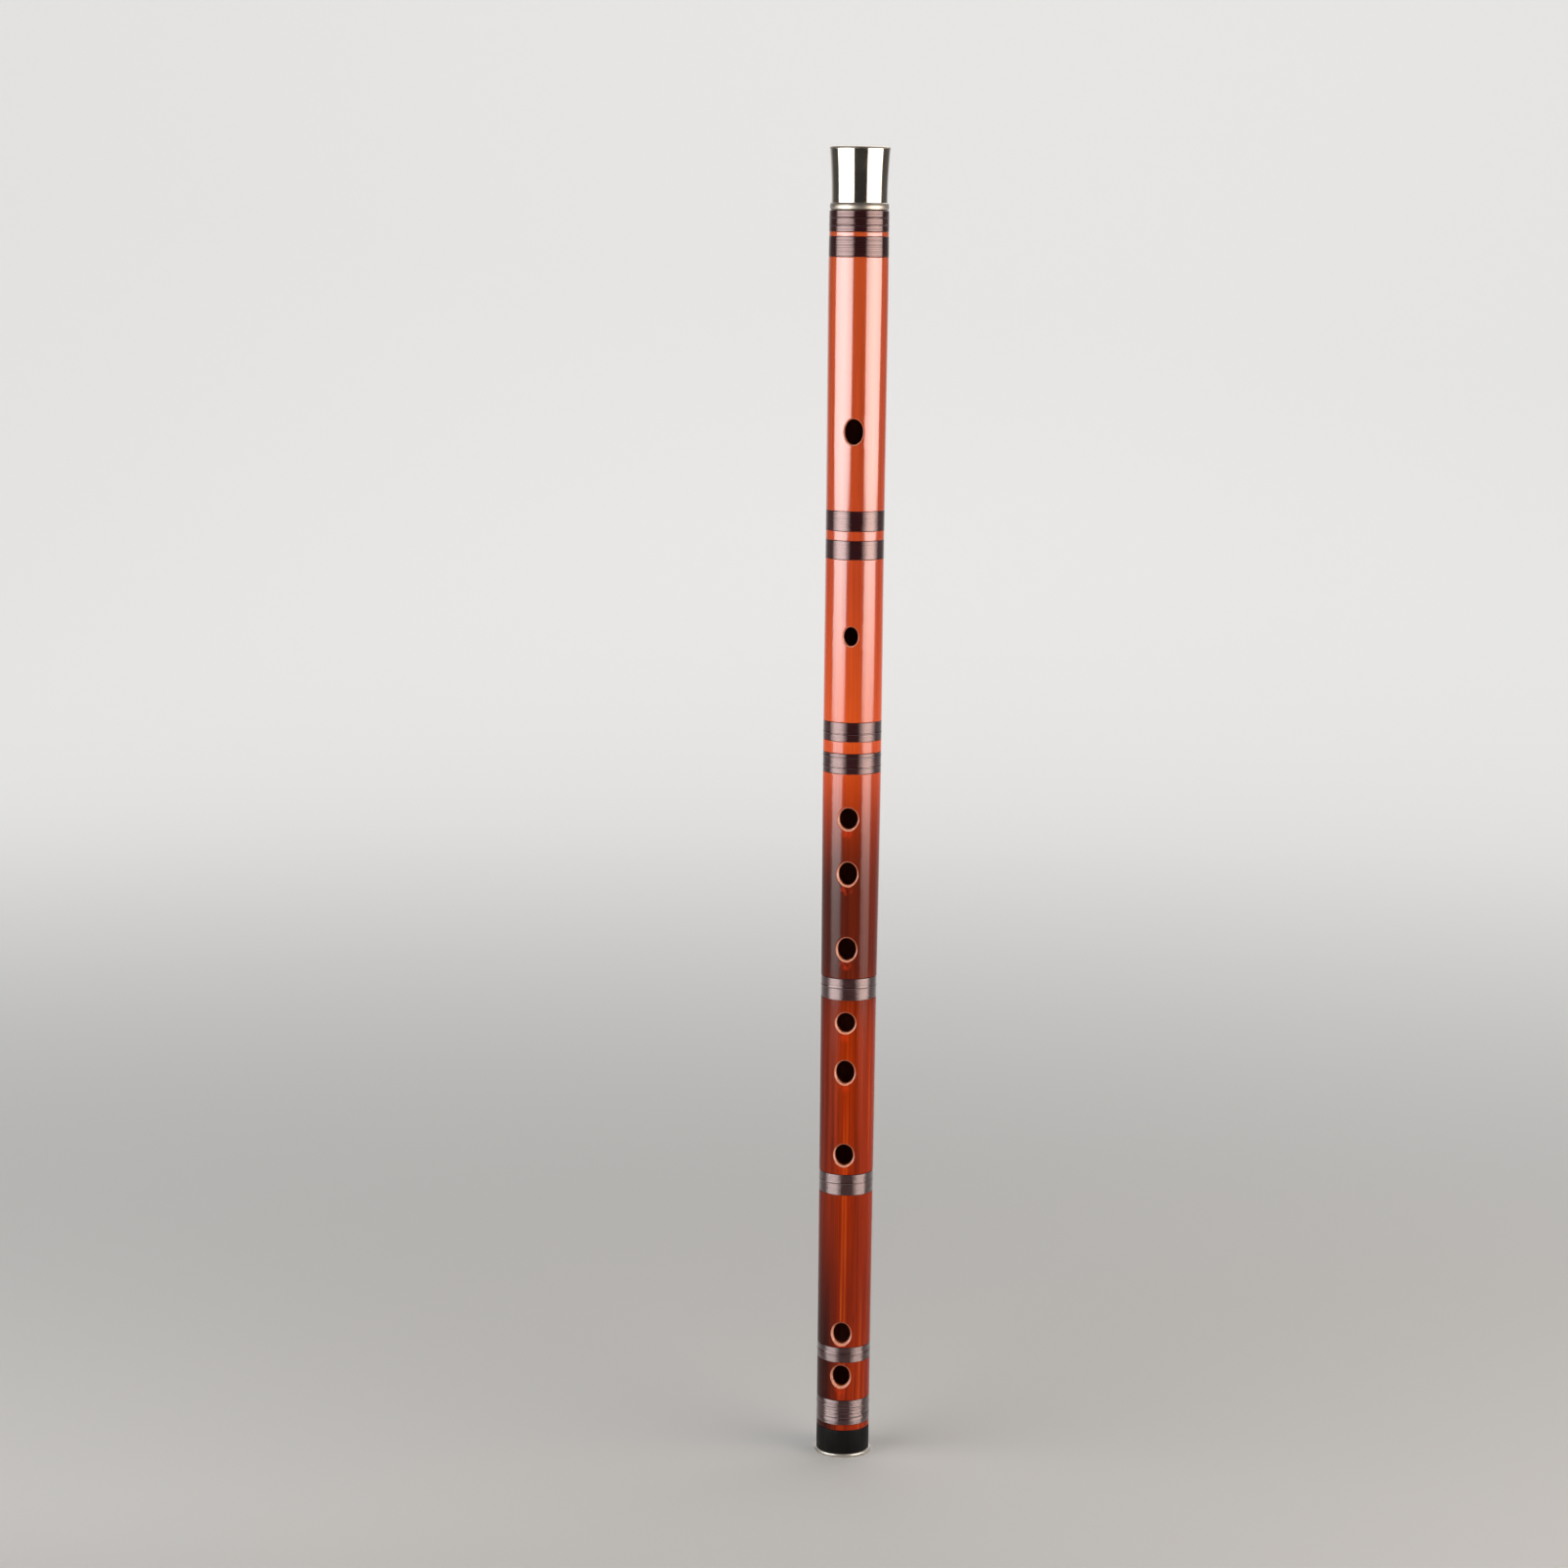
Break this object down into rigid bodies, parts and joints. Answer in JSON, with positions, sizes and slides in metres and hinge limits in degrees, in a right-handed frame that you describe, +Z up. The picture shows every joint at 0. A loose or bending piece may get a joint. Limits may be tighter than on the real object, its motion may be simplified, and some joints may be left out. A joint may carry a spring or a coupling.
{
  "type": "transverse bamboo flute",
  "caption": "Side-blown bamboo flute with thread windings, metal head cap, black foot ring, membrane hole, finger holes and a sliding cork stopper in its bore.",
  "frame": {"origin": "centre of the foot's resting face, on the bore's axis", "axes": "+Z up the bore from foot to head; -Y is the side with the mouth hole, membrane hole and finger holes; +X is to the right seen from that side"},
  "size_m": [0.0282, 0.0282, 0.62],
  "materials": {
    "bamboo": "orange-red stained bamboo under gloss lacquer",
    "nickel_silver": "polished nickel silver",
    "black_horn": "black horn, satin",
    "thread": "deep wine silk thread under gloss lacquer",
    "cork": "plain natural cork"
  },
  "bodies": {
    "flute": {"bamboo_tube": "bamboo", "head_cap": "nickel_silver", "foot_ring": "black_horn", "foot_lip": "nickel_silver", "winding_01": "thread", "winding_02": "thread", "winding_03": "thread", "winding_04": "thread", "winding_05": "thread", "winding_06": "thread", "winding_07": "thread", "winding_08": "thread", "winding_09": "thread", "winding_10": "thread"},
    "stopper": {"stopper": "cork"}
  },
  "joints": [
    {"name": "stopper_slide", "type": "slide", "parent": "flute", "child": "stopper", "axis": [0, 0, 1], "range_m": [-0.002, 0.01]}
  ]
}
